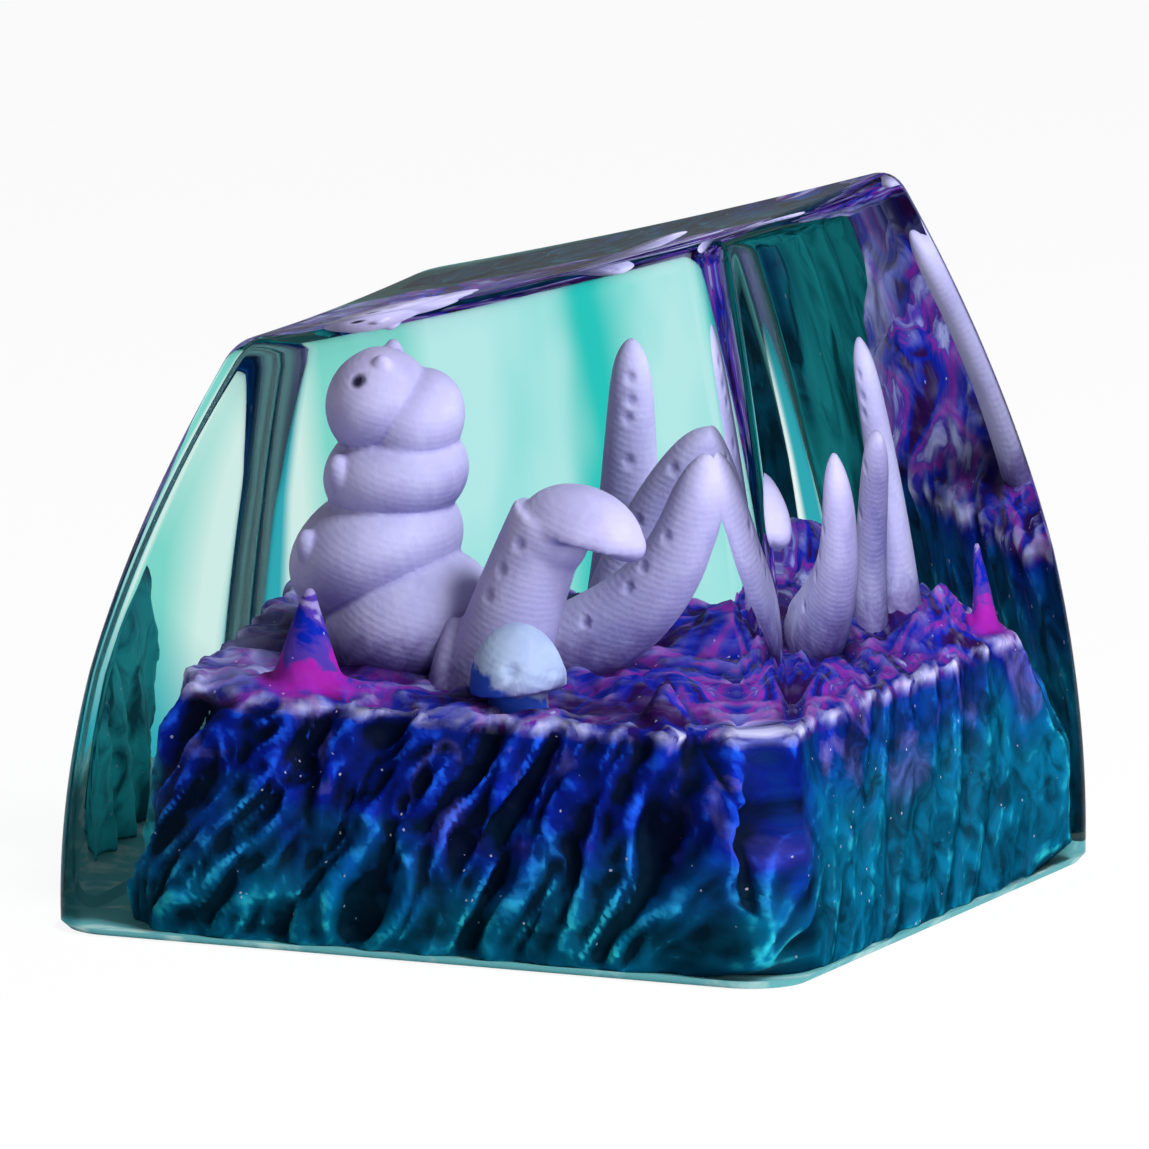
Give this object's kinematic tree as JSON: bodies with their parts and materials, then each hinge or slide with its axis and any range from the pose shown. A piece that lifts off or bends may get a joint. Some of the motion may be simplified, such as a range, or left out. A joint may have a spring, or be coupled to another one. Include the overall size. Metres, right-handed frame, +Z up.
{
  "type": "artisan keycap",
  "caption": "Tall sculpted key cap of clear tinted resin, cast around a painted rock with a rearing grub, mushrooms and feelers, with a cross socket for a key switch.",
  "frame": {"origin": "middle of the bottom rim, on the plane that the cap stands on", "axes": "+Z up along the switch stem, +Y towards the tall back of the cap, +X to the right for the typist"},
  "size_m": [0.0182, 0.0182, 0.0161],
  "materials": {
    "clear_resin": "polished clear resin with an aqua tint",
    "painted_rock": "hand painted blue, teal and magenta",
    "lavender_figure": "matte lavender paint",
    "pale_figure": "matte pale blue paint"
  },
  "bodies": {
    "root": {"clear_cap": "clear_resin", "rock_base": "painted_rock", "grub": "lavender_figure", "tall_mushroom": "lavender_figure", "button_mushroom": "pale_figure", "tall_tentacle": "lavender_figure", "bent_tentacle": "lavender_figure", "thick_tentacle": "lavender_figure"}
  },
  "joints": []
}
